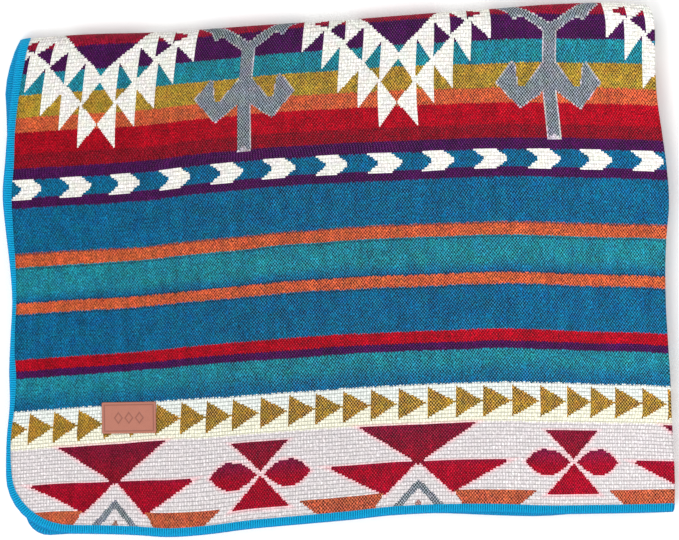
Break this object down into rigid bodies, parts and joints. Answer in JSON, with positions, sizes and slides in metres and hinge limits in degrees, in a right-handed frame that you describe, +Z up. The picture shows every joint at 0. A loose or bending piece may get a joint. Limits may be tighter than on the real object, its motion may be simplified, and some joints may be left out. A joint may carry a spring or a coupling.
{
  "type": "folded alpaca blanket",
  "caption": "Brushed woven blanket folded flat into eight layers, with an overlocked edge binding and a small leather patch.",
  "frame": {"origin": "on the surface the blanket rests on, under the middle of its bounding box", "axes": "+X along the front hem towards the side fold, +Y from the front hem to the rolled back fold, +Z up"},
  "size_m": [0.7062, 0.5616, 0.0343],
  "materials": {
    "brushed_cloth": "brushed alpaca-mix jacquard weave with stripes and geometric figures",
    "overlock_yarn": "dense overlock stitching in bright blue yarn",
    "patch_leather": "terracotta leather, smooth and matt"
  },
  "bodies": {
    "root": {"blanket_cloth": "brushed_cloth", "edge_binding": "overlock_yarn", "leather_patch": "patch_leather"}
  },
  "joints": []
}
